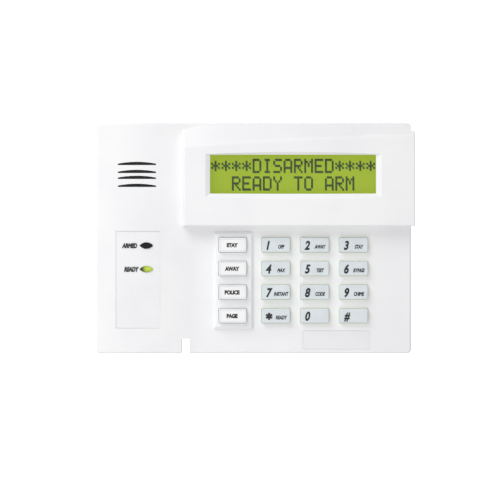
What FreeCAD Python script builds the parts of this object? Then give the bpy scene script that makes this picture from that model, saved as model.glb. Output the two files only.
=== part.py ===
"""Wall-mounted alarm keypad panel: a FreeCAD macro that builds every piece and writes parts/*.step.

Frame: +X to the right, +Z up, the front faces -Y. The origin is the centre of the mounting face,
so "depth" below is the distance out from the wall, and a point at depth d has y = -d.
"""
import FreeCAD
import Part
import Sketcher
import math
import os
from types import SimpleNamespace

# Driving dimensions, in millimetres and degrees.
DIMENSIONS = {
    # case
    "case_wide": 181.4,
    "case_tall": 133.0,
    "case_corner": 2.2,
    "case_edge": 1.2,
    "wall": 2.4,
    "floor_depth": 24.0,          # front of the flat field that the keys stand in
    "crown_rise": 4.0,            # the left side swells this far above the flat field
    "crown_radius": 196.0,
    "crown_from_left": 18.7,
    "blend_radius": 52.0,
    "parting_gap": 0.4,           # seam between the front case and the back plate
    # display housing, raised from the case
    "housing_from_left": 49.2,
    "housing_base_z": 6.9,
    "housing_depth": 32.0,
    "housing_face_wall": 3.0,
    "housing_draft": 1.2,
    "housing_top_gap": 0.3,       # flat strip of case left above the sloping top
    "face_top_left_z": 52.4,
    "face_top_middle_z": 57.5,
    "face_top_right_z": 59.6,
    "ear_wide": 2.0,              # the housing overhangs the right side by this much
    "ear_back_depth": 16.0,
    "ear_top_z": 62.0,
    "housing_ridge": 2.4,         # rounding of the face's top edge
    "housing_edge": 0.8,          # and of its other three
    "housing_hollow_drop": 0.5,   # the hollow's top edge runs this much below the face's
    # display window
    "window_x": 22.45,
    "window_z": 36.7,
    "window_wide": 95.5,
    "window_tall": 22.2,
    "bevel_deep": 1.2,            # the opening is bevelled this far back from the face,
    "bevel_left": 2.6,            # and widens by these amounts towards it
    "bevel_right": 3.2,
    "bevel_top": 0.4,
    "bevel_foot": 2.0,
    "bevel_bow": 1.3,             # and its top and foot bulge by this much
    "window_bow": 0.15,
    "pane_margin": 3.0,
    "pane_thick": 1.6,
    # number keys
    "key_wide": 16.5,
    "key_tall": 8.4,
    "key_corner": 0.9,
    "key_edge": 0.5,
    "key_proud": 2.5,
    "key_pitch_x": 22.4,
    "key_pitch_z": 13.6,
    "key_middle_x": 35.0,
    "key_top_z": -4.0,
    "key_gap": 0.2,
    "key_travel": 1.2,
    "flange_lip": 0.9,
    "flange_thick": 1.2,
    "flange_gap": 0.6,
    # function keys on their raised strip
    "function_x": -12.3,
    "function_wide": 16.2,
    "strip_x": -11.85,
    "strip_wide": 22.5,
    "strip_top_z": 3.4,
    "strip_base_z": -52.3,
    "strip_rise": 2.0,
    "strip_bevel": 1.2,
    "legend_margin": 0.95,
    "legend_thick": 0.35,
    # rubber mats, contacts and boards
    "board_depth": 15.0,          # front face of the main board
    "board_thick": 1.6,
    "board_gap": 2.0,
    "mat_thick": 1.4,
    "mat_edge": 1.5,
    "ring_wall": 1.1,
    "ring_gap": 0.6,
    "stem_inset": 1.2,
    "stem_long": 1.6,
    "pill_radius": 2.6,
    "pill_thick": 0.6,
    "contact_gap": 0.05,
    # display module
    "module_wide": 122.0,
    "module_tall": 44.0,
    "module_lift": 3.4,
    "header_long": 40.6,
    "header_wide": 2.5,
    "bezel_wide": 110.0,
    "bezel_tall": 36.0,
    "bezel_deep": 6.8,
    "bezel_wall": 0.6,
    "view_wide": 99.0,
    "view_tall": 24.0,
    "backlight_thick": 3.2,
    "glass_thick": 2.2,
    "glass_inset": 1.5,
    "spacer_radius": 2.5,
    "spacer_margin": 1.0,
    "plate_corner": 1.0,          # corner of boards, bezel, pane and badge
    "small_corner": 0.4,          # corner of small moulded and printed pieces
    # status label and lamps
    "label_from_left": 23.85,
    "label_wide": 25.5,
    "label_top_z": 4.0,
    "label_base_z": -52.0,
    "label_recess": 0.6,
    "label_thick": 0.28,
    "label_gap": 0.15,
    "lamp_from_left": 28.7,
    "lamp_drop": 0.35,            # the lamps stand this much below the two upper rows of keys
    "lens_wide": 7.6,
    "lens_tall": 3.5,
    "lens_gap": 0.12,
    "lens_flange": 1.0,
    "lens_sink": 0.2,             # the lens stands this much below the crest
    "led_radius": 1.5,
    "led_tall": 5.3,
    "led_collar": 0.4,
    "led_collar_tall": 1.0,
    # parts on the back of the main board
    "chip_x": -50.0,
    "chip_z": -18.0,
    "chip_wide": 16.6,
    "chip_thick": 3.2,
    "chip_lift": 0.2,
    "chip_pitch": 1.27,
    "chip_leg": 1.6,
    "chip_leg_wide": 0.5,
    "can_x": 40.0,
    "can_z": -30.0,
    "can_pitch": 10.0,
    "can_radius": 3.15,
    "can_tall": 7.7,
    "terminal_x": 0.0,
    "terminal_z": -6.0,
    "terminal_pitch": 5.08,
    "terminal_tall": 8.0,
    "terminal_deep": 8.5,
    "cup_radius": 1.7,
    "cup_deep": 2.0,
    "wire_mouth": 1.3,
    # sounder and its slots
    "sounder_from_left": 23.3,
    "sounder_z": 36.65,
    "sounder_radius": 15.0,
    "sounder_deep": 7.5,
    "sounder_wall": 1.2,
    "sound_hole": 1.3,
    "disc_radius": 13.5,
    "disc_thick": 0.4,
    "disc_ledge": 1.0,
    "slot_wide": 21.9,
    "slot_tall": 1.9,
    "slot_end": 0.85,
    "slot_pitch": 4.6,
    "slot_close": 1.2,            # the two middle slots stand this much closer
    # notch in the bottom edge and the badge recess
    "notch_from_left": 49.0,
    "notch_wide": 4.5,
    "notch_tall": 8.3,
    "badge_x": 47.5,
    "badge_z": -58.8,
    "badge_wide": 38.8,
    "badge_tall": 10.9,
    "badge_recess": 0.5,
    "badge_thick": 0.3,
    "fit_gap": 0.1,
    # back plate
    "back_thick": 2.0,
    "rim_tall": 4.0,
    "rim_wall": 1.5,
    "rim_gap": 0.4,
    "wire_wide": 46.0,
    "wire_tall": 30.0,
    "wire_corner": 3.0,
    "box_pitch_x": 46.0,          # screw spacing of a two-gang wall box
    "box_pitch_z": 83.3,
    "screw_hole": 2.2,
    "keyhole_x": 60.0,
    "rib_thick": 1.2,
    "rib_tall": 1.5,
    "catch_x": 55.0,
    "catch_wide": 9.0,
    "catch_thick": 1.2,
    "catch_reach": 1.2,
    "catch_play": 0.25,
    # screws that hold the main board to the bosses of the case
    "boss_radius": 3.4,
    "boss_inset_x": 11.0,
    "boss_inset_z": 17.0,
    "boss_from_housing": 4.5,
    "boss_from_notch": 7.0,
    "boss_under_housing": 4.0,
    "shank_radius": 1.25,
    "screw_head": 2.6,
    "screw_head_tall": 1.5,
    "screw_long": 6.5,
    "pilot_spare": 0.5,
    "cross_long": 3.1,
    "cross_wide": 0.65,
}
CHIP_LEGS = 11                    # on each of two sides
TERMINAL_WAYS = 4
FACE_BOW_SHARE = 0.6              # where along the face its top is pinned
SLOPE_SHARE = 0.6                 # of the crown's rise is left above the bosses beside the housing


class Size:
    """A value that also carries the spreadsheet formula it comes from."""

    def __init__(self, value, formula):
        self.value = value
        self.formula = formula

    def __add__(self, other):
        return joined(self, "+", other, lambda a, b: a + b)

    def __radd__(self, other):
        return joined(other, "+", self, lambda a, b: a + b)

    def __sub__(self, other):
        return joined(self, "-", other, lambda a, b: a - b)

    def __rsub__(self, other):
        return joined(other, "-", self, lambda a, b: a - b)

    def __mul__(self, other):
        return joined(self, "*", other, lambda a, b: a * b)

    def __rmul__(self, other):
        return joined(other, "*", self, lambda a, b: a * b)

    def __truediv__(self, other):
        return joined(self, "/", other, lambda a, b: a / b)

    def __neg__(self):
        return joined(0, "-", self, lambda a, b: a - b)

    def __float__(self):
        return self.value


def as_size(item):
    """A plain number as a Size."""
    return item if isinstance(item, Size) else Size(float(item), "%r" % float(item))


def joined(left, sign, right, work):
    left, right = as_size(left), as_size(right)
    formula = "(%s %s %s)" % (left.formula, sign, right.formula)
    return Size(work(left.value, right.value), formula)


doc = FreeCAD.newDocument("AlarmKeypad")
sheet = doc.addObject("Spreadsheet::Sheet", "Sizes")
for row, (alias, number) in enumerate(DIMENSIONS.items(), start=1):
    sheet.set("A%d" % row, alias)
    sheet.set("B%d" % row, str(number))
    sheet.setAlias("B%d" % row, alias)
doc.recompute()
TOUCH = 1e-3                      # two places closer than this are the same
S = SimpleNamespace(**{name: Size(number, "Sizes." + name) for name, number in DIMENSIONS.items()})
PIECES = []


# ---------------------------------------------------------------- drawing tools
def bind(item, path, size):
    """Drive one property of an object from the spreadsheet."""
    item.setExpression(path, as_size(size).formula)


def new_body(label, solids=1):
    """An empty body that becomes one file; several solids make it a group."""
    made = doc.addObject("PartDesign::Body", label)
    made.Label = label
    made.AllowCompound = solids > 1
    PIECES.append(made)
    return made


def sketch_on(body, role="XZ_Plane", at=0):
    """A sketch on one of the body's own planes; on XZ_Plane "at" is the depth from the wall."""
    made = body.newObject("Sketcher::SketchObject", "Sketch")
    made.AttachmentSupport = [(plane, "") for plane in body.Origin.OriginFeatures if plane.Role == role]
    made.MapMode = "FlatFace"
    bind(made, "AttachmentOffset.Base.z", at)
    return made


def locate(sketch, element, corner, x, y):
    """Fix a point of a sketch element at sheet-driven coordinates."""
    for kind, size in (("DistanceX", x), ("DistanceY", y)):
        index = sketch.addConstraint(Sketcher.Constraint(kind, -1, 1, element, corner, float(size)))
        bind(sketch, "Constraints[%d]" % index, size)


def datum(sketch, kind, element, size):
    index = sketch.addConstraint(Sketcher.Constraint(kind, element, float(size)))
    bind(sketch, "Constraints[%d]" % index, size)


def vector(x, y):
    return FreeCAD.Vector(float(x), float(y), 0)


def polygon(sketch, points):
    """A closed outline of straight lines through sheet-driven points."""
    first = len(sketch.Geometry)
    count = len(points)
    for index, start in enumerate(points):
        sketch.addGeometry(Part.LineSegment(vector(*start), vector(*points[(index + 1) % count])))
    for index, (x, y) in enumerate(points):
        following = first + (index + 1) % count
        sketch.addConstraint(Sketcher.Constraint("Coincident", first + index, 2, following, 1))
        locate(sketch, first + index, 1, x, y)


def circle(sketch, x, y, radius):
    made = sketch.addGeometry(Part.Circle(vector(x, y), FreeCAD.Vector(0, 0, 1), float(radius)))
    locate(sketch, made, 3, x, y)
    datum(sketch, "Radius", made, radius)


def rounded(sketch, left, right, base, top, radius):
    """A rectangle with tangent corner arcs of one radius."""
    first = len(sketch.Geometry)
    x0, x1, y0, y1, r = (float(size) for size in (left, right, base, top, radius))
    ends = [((x0 + r, y0), (x1 - r, y0)), ((x1, y0 + r), (x1, y1 - r)),
            ((x1 - r, y1), (x0 + r, y1)), ((x0, y1 - r), (x0, y0 + r))]
    for start, end in ends:
        sketch.addGeometry(Part.LineSegment(vector(*start), vector(*end)))
    centres = [(x1 - r, y0 + r), (x1 - r, y1 - r), (x0 + r, y1 - r), (x0 + r, y0 + r)]
    for index, centre in enumerate(centres):
        bend = Part.Circle(vector(*centre), FreeCAD.Vector(0, 0, 1), r)
        turn = math.pi / 2 * (index - 1)
        arc = sketch.addGeometry(Part.ArcOfCircle(bend, turn, turn + math.pi / 2))
        sketch.addConstraint(Sketcher.Constraint("Tangent", first + index, 2, arc, 1))
        sketch.addConstraint(Sketcher.Constraint("Tangent", arc, 2, first + (index + 1) % 4, 1))
        if index:
            sketch.addConstraint(Sketcher.Constraint("Equal", first + 4, arc))
    for side, kind in enumerate(("Horizontal", "Vertical", "Horizontal", "Vertical")):
        sketch.addConstraint(Sketcher.Constraint(kind, first + side))
    datum(sketch, "Radius", first + 4, radius)
    for kind, side, size in (("DistanceY", 0, base), ("DistanceX", 1, right),
                             ("DistanceY", 2, top), ("DistanceX", 3, left)):
        index = sketch.addConstraint(Sketcher.Constraint(kind, -1, 1, first + side, 1, float(size)))
        bind(sketch, "Constraints[%d]" % index, size)


def arc_through(start, middle, end):
    return Part.Arc(vector(*start), vector(*middle), vector(*end))


def box_corners(left, right, base, top):
    return [(left, base), (right, base), (right, top), (left, top)]


def vesica(sketch, x, z, wide, tall):
    """A pointed oval of two arcs."""
    first = len(sketch.Geometry)
    left, right = (x - wide / 2, z), (x + wide / 2, z)
    radius = (wide * wide / tall + tall) / 4
    sketch.addGeometry(arc_through(left, (x, z - tall / 2), right))
    sketch.addGeometry(arc_through(right, (x, z + tall / 2), left))
    for element, near_left, near_right in ((first, 1, 2), (first + 1, 2, 1)):
        datum(sketch, "Radius", element, radius)
    locate(sketch, first, 1, *left)
    locate(sketch, first, 2, *right)
    sketch.addConstraint(Sketcher.Constraint("Coincident", first, 2, first + 1, 1))
    sketch.addConstraint(Sketcher.Constraint("Coincident", first + 1, 2, first, 1))


def pad(body, sketch, length, both_ways=False):
    made = body.newObject("PartDesign::Pad", "Pad")
    made.Profile = sketch
    made.Midplane = both_ways
    bind(made, "Length", length)
    sketch.Visibility = False
    return made


def pocket(body, sketch, length, both_ways=False):
    """Cut back from the sketch towards the wall, and see that something was cut."""
    doc.recompute()
    before = body.Shape.Volume
    made = body.newObject("PartDesign::Pocket", "Pocket")
    made.Profile = sketch
    made.Midplane = both_ways
    bind(made, "Length", length)
    sketch.Visibility = False
    doc.recompute()
    if not body.Shape.Volume < before - TOUCH:
        raise RuntimeError("%s: a pocket cut nothing" % body.Label)
    return made


def edges_where(shape, test):
    """Names of the edges whose two ends and middle all pass a test of (x, depth, z)."""
    names = []
    for number, edge in enumerate(shape.Edges, start=1):
        first, last = edge.ParameterRange
        points = [edge.valueAt(first), edge.valueAt((first + last) / 2), edge.valueAt(last)]
        if all(test(point.x, -point.y, point.z) for point in points):
            names.append("Edge%d" % number)
    return names


def dress(body, kind, test, size):
    """Fillet or chamfer the edges of the body so far that pass the test."""
    doc.recompute()
    tip = body.Tip
    names = edges_where(tip.Shape, test)
    made = body.newObject("PartDesign::" + kind, kind)
    made.Base = (tip, names)
    bind(made, "Radius" if kind == "Fillet" else "Size", size)
    doc.recompute()
    if not names or not made.Shape.isValid() or made.Shape.isNull():
        raise RuntimeError("%s: a %s failed" % (body.Label, kind.lower()))
    return made


def near(number, size):
    return abs(number - float(size)) < TOUCH


# ---------------------------------------------------------------- shared places
CLEAR = as_size(1)                # a cut starts this far in front of what it cuts
HALF_WIDE = S.case_wide / 2
HALF_TALL = S.case_tall / 2
CREST_DEPTH = S.floor_depth + S.crown_rise
CREST_X = S.crown_from_left - HALF_WIDE
HOUSING_LEFT = S.housing_from_left - HALF_WIDE
HOUSING_RIGHT = HALF_WIDE + S.ear_wide
HOUSING_TOP = HALF_TALL - S.case_edge - S.housing_top_gap
FACE_BOW_X = HOUSING_LEFT + FACE_BOW_SHARE * (HOUSING_RIGHT - HOUSING_LEFT)
LABEL_X = S.label_from_left - HALF_WIDE
LAMP_X = S.lamp_from_left - HALF_WIDE
SOUNDER_X = S.sounder_from_left - HALF_WIDE
STRIP_LEFT = S.strip_x - S.strip_wide / 2
STRIP_FRONT = S.floor_depth + S.strip_rise
CEILING = S.floor_depth - S.wall            # inner side of the key field's wall
BOARD_BACK = S.board_depth - S.board_thick
SKIRT_BACK = S.back_thick + S.parting_gap
NOTCH_LEFT = S.notch_from_left - HALF_WIDE
NOTCH_RIGHT = NOTCH_LEFT + S.notch_wide
NOTCH_TOP = S.notch_tall - HALF_TALL
KEY_X = [S.key_middle_x + S.key_pitch_x * column for column in (-1, 0, 1)]
KEY_Z = [S.key_top_z - S.key_pitch_z * row for row in range(4)]
LAMP_Z = [z - S.lamp_drop for z in KEY_Z[:2]]
NUMBER_KEYS = ["1", "2", "3", "4", "5", "6", "7", "8", "9", "star", "0", "hash"]
KEY_TOP = S.floor_depth + S.key_proud
FUNCTION_TOP = KEY_TOP + S.strip_rise
FLANGE_FRONT = CEILING - S.flange_gap
FLANGE_BACK = FLANGE_FRONT - S.flange_thick
STEM_BACK = FLANGE_BACK - S.stem_long
PILL_BACK = S.board_depth + S.key_travel + S.contact_gap
PANE_FRONT = S.housing_depth - S.housing_face_wall
MODULE_BACK = S.board_depth + S.module_lift
MODULE_FRONT = MODULE_BACK + S.board_thick
BACKLIGHT_FRONT = MODULE_FRONT + S.backlight_thick
LENS_FRONT = CREST_DEPTH - S.lens_sink
LENS_BACK = S.board_depth + S.led_tall + 2 * S.key_gap
LENS_FLANGE_FRONT = CEILING + S.crown_rise - S.lens_flange
BOARD_LEFT = S.wall + S.board_gap - HALF_WIDE
BOARD_BASE = NOTCH_TOP + S.wall + S.board_gap
BOSS_LEFT = S.boss_inset_x - HALF_WIDE
BOSS_RIGHT = HALF_WIDE - S.boss_inset_x
BOSS_BASE = S.boss_inset_z - HALF_TALL
FIELD_ROOT = CEILING + S.wall / 4           # bosses end inside the wall in front of them
CROWN_ROOT = FIELD_ROOT + S.crown_rise
SLOPE_ROOT = FIELD_ROOT + S.crown_rise * SLOPE_SHARE
BOSSES = [(BOSS_LEFT, BOSS_BASE, CROWN_ROOT), (BOSS_LEFT, HALF_TALL - S.boss_inset_x, CROWN_ROOT),
          (HOUSING_LEFT - S.boss_from_housing, HALF_TALL - S.boss_inset_x, SLOPE_ROOT),
          (NOTCH_RIGHT + S.boss_from_notch, BOSS_BASE, FIELD_ROOT), (BOSS_RIGHT, BOSS_BASE, FIELD_ROOT),
          (BOSS_RIGHT, S.housing_base_z - S.boss_under_housing, FIELD_ROOT)]
CHIP_TALL = S.chip_thick + S.chip_lift
PILOT_LONG = S.screw_long - S.board_thick + S.pilot_spare
CATCHES = [-S.catch_x, S.catch_x]
CATCH_FRONT = S.back_thick + S.rim_tall     # front of the hooks and snaps on the rim
SLOT_Z = [S.sounder_z + S.slot_pitch * step + S.slot_close / 2 * side
          for step, side in ((1.5, -1), (0.5, -1), (-0.5, 1), (-1.5, 1))]


# ---------------------------------------------------------------- front case
def case_profile(sketch, inset, back):
    """Plan view of the case: flat field on the right, a crown on the left, joined by a hollow arc."""
    left, right = inset - HALF_WIDE, HALF_WIDE - inset
    crown = S.crown_radius - inset
    blend = S.blend_radius + inset
    field = inset - S.floor_depth
    crest = inset - CREST_DEPTH
    crown_y = float(crest) + float(crown)
    blend_y = float(field) - float(blend)
    run = math.sqrt((float(crown) + float(blend)) ** 2 - (crown_y - blend_y) ** 2)
    blend_x = float(CREST_X) + run
    tilt = math.atan2(crown_y - blend_y, run)
    big = Part.Circle(vector(CREST_X, crown_y), FreeCAD.Vector(0, 0, 1), float(crown))
    small = Part.Circle(vector(blend_x, blend_y), FreeCAD.Vector(0, 0, 1), float(blend))
    left_y = crown_y - math.sqrt(float(crown) ** 2 - (float(left) - float(CREST_X)) ** 2)
    start = math.atan2(left_y - crown_y, float(left) - float(CREST_X)) + 2 * math.pi
    crown_arc = sketch.addGeometry(Part.ArcOfCircle(big, start, 2 * math.pi - tilt))
    blend_arc = sketch.addGeometry(Part.ArcOfCircle(small, math.pi / 2, math.pi - tilt))
    floor = sketch.addGeometry(Part.LineSegment(vector(blend_x, field), vector(right, field)))
    side = sketch.addGeometry(Part.LineSegment(vector(right, field), vector(right, -back)))
    rear = sketch.addGeometry(Part.LineSegment(vector(right, -back), vector(left, -back)))
    near_side = sketch.addGeometry(Part.LineSegment(vector(left, -back), vector(left, left_y)))
    sketch.addConstraint(Sketcher.Constraint("Tangent", crown_arc, 2, blend_arc, 2))
    sketch.addConstraint(Sketcher.Constraint("Tangent", blend_arc, 1, floor, 1))
    for one, two in ((floor, side), (side, rear), (rear, near_side), (near_side, crown_arc)):
        sketch.addConstraint(Sketcher.Constraint("Coincident", one, 2, two, 1))
    sketch.addConstraint(Sketcher.Constraint("Horizontal", floor))
    sketch.addConstraint(Sketcher.Constraint("Vertical", near_side))
    datum(sketch, "Radius", crown_arc, crown)
    datum(sketch, "Radius", blend_arc, blend)
    locate(sketch, crown_arc, 3, CREST_X, crest + crown)
    locate(sketch, side, 1, right, field)
    locate(sketch, rear, 1, right, -back)
    locate(sketch, near_side, 1, left, -back)


def housing_outline(sketch, left, right, base, top_left, top_middle, top_right):
    """The housing seen from the front: straight sides and foot, and a top that rises in a slow arc."""
    first = len(sketch.Geometry)
    sketch.addGeometry(Part.LineSegment(vector(left, base), vector(right, base)))
    sketch.addGeometry(Part.LineSegment(vector(right, base), vector(right, top_right)))
    sketch.addGeometry(arc_through((right, top_right), (FACE_BOW_X, top_middle), (left, top_left)))
    sketch.addGeometry(Part.LineSegment(vector(left, top_left), vector(left, base)))
    close_four(sketch, first, [(left, base), (right, base), (right, top_right), (left, top_left)])
    pin_arc(sketch, first + 2, FACE_BOW_X, top_middle)


def close_four(sketch, first, corners):
    """Join four elements end to end and fix their corners."""
    for index, corner in enumerate(corners):
        locate(sketch, first + index, 1, *corner)
    for index in range(4):
        following = first + (index + 1) % 4
        sketch.addConstraint(Sketcher.Constraint("Coincident", first + index, 2, following, 1))


def pin_arc(sketch, arc, x, y):
    """Make an arc pass through one sheet-driven point."""
    point = sketch.addGeometry(Part.Point(vector(x, y)), True)
    locate(sketch, point, 1, x, y)
    sketch.addConstraint(Sketcher.Constraint("PointOnObject", point, 1, arc))


def loft(body, kind, sections):
    made = body.newObject("PartDesign::" + kind, kind)
    made.Profile = sections[0]
    made.Sections = sections[1:]
    made.Ruled = True
    for section in sections:
        section.Visibility = False
    doc.recompute()
    return made


def front_case():
    body = new_body("front_case")
    shell = sketch_on(body, "XY_Plane")
    case_profile(shell, as_size(0), SKIRT_BACK)
    pad(body, shell, S.case_tall, both_ways=True)
    dress(body, "Fillet", lambda x, d, z: near(abs(x), HALF_WIDE) and near(abs(z), HALF_TALL)
          and (x < 0 or z < 0), S.case_corner)
    add_housing(body)
    round_case(body)
    hollow_case(body)
    add_strip(body)
    cut_key_holes(body)
    cut_window(body)
    cut_left_side(body)
    cut_notch_and_badge(body)
    add_bosses(body)
    cut_catches(body)


def add_housing(body):
    """The display housing: a ruled block whose top slopes back, and the ear that overhangs the side."""
    foot = sketch_on(body, at=S.floor_depth)
    polygon(foot, box_corners(HOUSING_LEFT, HOUSING_RIGHT, S.housing_base_z, HOUSING_TOP))
    face = sketch_on(body, at=S.housing_depth)
    housing_outline(face, HOUSING_LEFT + S.housing_draft, HOUSING_RIGHT, S.housing_base_z,
                    S.face_top_left_z, S.face_top_middle_z, S.face_top_right_z)
    loft(body, "AdditiveLoft", [foot, face])
    ear = sketch_on(body, at=S.ear_back_depth)
    polygon(ear, box_corners(HALF_WIDE - S.wall, HOUSING_RIGHT, S.housing_base_z, S.ear_top_z))
    pad(body, ear, S.floor_depth - S.ear_back_depth + CLEAR)


def outside_corner(sketch, right, top, radius, base):
    """Everything to the right of the case above the ear, and outside its rounded top corner."""
    spare = 2 * CLEAR
    points = [(right, top - radius), (right, base), (right + 2 * spare, base),
              (right + 2 * spare, top + spare), (right - radius, top + spare), (right - radius, top)]
    first = len(sketch.Geometry)
    for start, end in zip(points, points[1:]):
        sketch.addGeometry(Part.LineSegment(vector(*start), vector(*end)))
    centre = vector(right - radius, top - radius)
    bend = Part.Circle(centre, FreeCAD.Vector(0, 0, 1), float(radius))
    arc = sketch.addGeometry(Part.ArcOfCircle(bend, 0, math.pi / 2))
    for index in range(len(points) - 2):
        sketch.addConstraint(Sketcher.Constraint("Coincident", first + index, 2, first + index + 1, 1))
    for index, point in enumerate(points[:-1]):
        locate(sketch, first + index, 1, *point)
    locate(sketch, first + len(points) - 2, 2, *points[-1])
    sketch.addConstraint(Sketcher.Constraint("Coincident", arc, 1, first, 1))
    sketch.addConstraint(Sketcher.Constraint("Coincident", arc, 2, first + len(points) - 2, 2))
    datum(sketch, "Radius", arc, radius)


def round_case(body):
    """Moulded roundings: the housing's face, the rim of the case, then the corner above the ear."""
    top = S.face_top_left_z.value - TOUCH
    dress(body, "Fillet", lambda x, d, z: near(d, S.housing_depth) and z > top, S.housing_ridge)
    dress(body, "Fillet", lambda x, d, z: near(d, S.housing_depth), S.housing_edge)
    dress(body, "Fillet", lambda x, d, z: d > CEILING.value
          and (near(abs(z), HALF_TALL) or near(x, -HALF_WIDE)), S.case_edge)
    above_ear = sketch_on(body, at=S.housing_depth)
    outside_corner(above_ear, HALF_WIDE, HALF_TALL, S.case_corner, S.ear_top_z)
    pocket(body, above_ear, S.housing_depth)


def hollow_case(body):
    """Two hollows at an even wall: one behind the whole case, one up into the housing."""
    inside = sketch_on(body, "XY_Plane")
    case_profile(inside, S.wall, as_size(0))
    pocket(body, inside, S.case_tall - 2 * S.wall, both_ways=True)
    floor = sketch_on(body, at=CEILING - CLEAR)
    left, right = HOUSING_LEFT + S.wall, HALF_WIDE - S.wall
    base, inner_top = S.housing_base_z + S.wall, HALF_TALL - S.wall
    polygon(floor, box_corners(left, right, base, inner_top))
    face = sketch_on(body, at=PANE_FRONT)
    drop = S.housing_hollow_drop
    housing_outline(face, left + S.housing_draft, right, base, S.face_top_left_z - drop,
                    S.face_top_middle_z - drop, S.face_top_right_z - drop)
    loft(body, "SubtractiveLoft", [floor, face])


def add_strip(body):
    """The raised strip that carries the function keys."""
    strip = sketch_on(body, at=S.floor_depth - CLEAR)
    right = STRIP_LEFT + S.strip_wide
    polygon(strip, box_corners(STRIP_LEFT, right, S.strip_base_z, S.strip_top_z))
    pad(body, strip, S.strip_rise + CLEAR)
    dress(body, "Chamfer", lambda x, d, z: near(d, STRIP_FRONT)
          and STRIP_LEFT.value - TOUCH < x < right.value + TOUCH
          and z < S.strip_top_z.value + TOUCH, S.strip_bevel)


def cut_key_holes(body):
    wide, tall = S.key_wide / 2 + S.key_gap, S.key_tall / 2 + S.key_gap
    for z in KEY_Z:
        row = sketch_on(body, at=S.floor_depth + CLEAR)
        for x in KEY_X:
            rounded(row, x - wide, x + wide, z - tall, z + tall, S.key_corner + S.key_gap)
        pocket(body, row, S.wall + 2 * CLEAR)
    functions = sketch_on(body, at=STRIP_FRONT + CLEAR)
    wide = S.function_wide / 2 + S.key_gap
    for z in KEY_Z:
        rounded(functions, S.function_x - wide, S.function_x + wide, z - tall, z + tall,
                S.key_corner + S.key_gap)
    pocket(body, functions, S.strip_rise + S.wall + 2 * CLEAR)


def cut_window(body):
    """The display opening, straight behind and with a wide bevel in front whose top and foot bow outwards."""
    left, right = S.window_x - S.window_wide / 2, S.window_x + S.window_wide / 2
    base, top = S.window_z - S.window_tall / 2, S.window_z + S.window_tall / 2
    opening = sketch_on(body, at=S.housing_depth)
    bowed(opening, left, right, base, top, S.window_bow)
    pocket(body, opening, S.housing_face_wall)
    back = sketch_on(body, at=S.housing_depth - S.bevel_deep)
    bowed(back, left, right, base, top, S.window_bow)
    front = sketch_on(body, at=S.housing_depth)
    bowed(front, left - S.bevel_left, right + S.bevel_right, base - S.bevel_foot, top + S.bevel_top,
          S.bevel_bow)
    loft(body, "SubtractiveLoft", [back, front])


def bowed(sketch, left, right, base, top, bow):
    """A rectangle whose top and foot bulge by the bow."""
    first = len(sketch.Geometry)
    middle = (left + right) / 2
    corners = box_corners(left, right, base, top)
    sketch.addGeometry(arc_through(corners[0], (middle, base - bow), corners[1]))
    sketch.addGeometry(Part.LineSegment(vector(*corners[1]), vector(*corners[2])))
    sketch.addGeometry(arc_through(corners[2], (middle, top + bow), corners[3]))
    sketch.addGeometry(Part.LineSegment(vector(*corners[3]), vector(*corners[0])))
    close_four(sketch, first, corners)
    pin_arc(sketch, first, middle, base - bow)
    pin_arc(sketch, first + 2, middle, top + bow)


def cut_left_side(body):
    """Recess for the status label, holes for its lenses, and the slots in front of the sounder."""
    recess = crown_band(body, LABEL_X, S.label_wide / 2, -CLEAR, S.label_recess)
    label_z = (S.label_top_z + S.label_base_z) / 2
    place_band(recess, label_z)
    pocket(body, recess, S.label_top_z - S.label_base_z, both_ways=True)
    lamps = sketch_on(body, at=CREST_DEPTH + CLEAR)
    for z in LAMP_Z:
        vesica(lamps, LAMP_X, z, S.lens_wide + 2 * S.lens_gap, S.lens_tall + 2 * S.lens_gap)
    pocket(body, lamps, S.wall + S.crown_rise)
    slots = sketch_on(body, at=CREST_DEPTH + CLEAR)
    for z in SLOT_Z:
        sound_slot(slots, SOUNDER_X, z)
    pocket(body, slots, S.wall + S.crown_rise)


def crown_band(body, x, half_wide, outer_inset, inner_inset):
    """A sketch in plan of a strip that follows the crown between two depths below its surface."""
    made = sketch_on(body, "XY_Plane")
    centre_y = float(S.crown_radius - CREST_DEPTH)
    first = len(made.Geometry)
    sides = (float(x - half_wide), float(x + half_wide))
    ends = []
    for inset in (outer_inset, inner_inset):
        radius = float(S.crown_radius - inset)
        angles = [-math.acos((side - float(CREST_X)) / radius) for side in sides]
        ring = Part.Circle(vector(CREST_X, centre_y), FreeCAD.Vector(0, 0, 1), radius)
        arc = made.addGeometry(Part.ArcOfCircle(ring, angles[0], angles[1]))
        datum(made, "Radius", arc, S.crown_radius - inset)
        locate(made, arc, 3, CREST_X, S.crown_radius - CREST_DEPTH)
        ends.append([(side, centre_y + radius * math.sin(angle)) for side, angle in zip(sides, angles)])
    for side, corner, where in ((0, 1, x - half_wide), (1, 2, x + half_wide)):
        line = made.addGeometry(Part.LineSegment(vector(*ends[0][side]), vector(*ends[1][side])))
        made.addConstraint(Sketcher.Constraint("Coincident", line, 1, first, corner))
        made.addConstraint(Sketcher.Constraint("Coincident", line, 2, first + 1, corner))
        made.addConstraint(Sketcher.Constraint("Vertical", line))
        index = made.addConstraint(Sketcher.Constraint("DistanceX", -1, 1, line, 1, float(where)))
        bind(made, "Constraints[%d]" % index, where)
    return made


def place_band(sketch, z):
    bind(sketch, "AttachmentOffset.Base.z", z)


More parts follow.
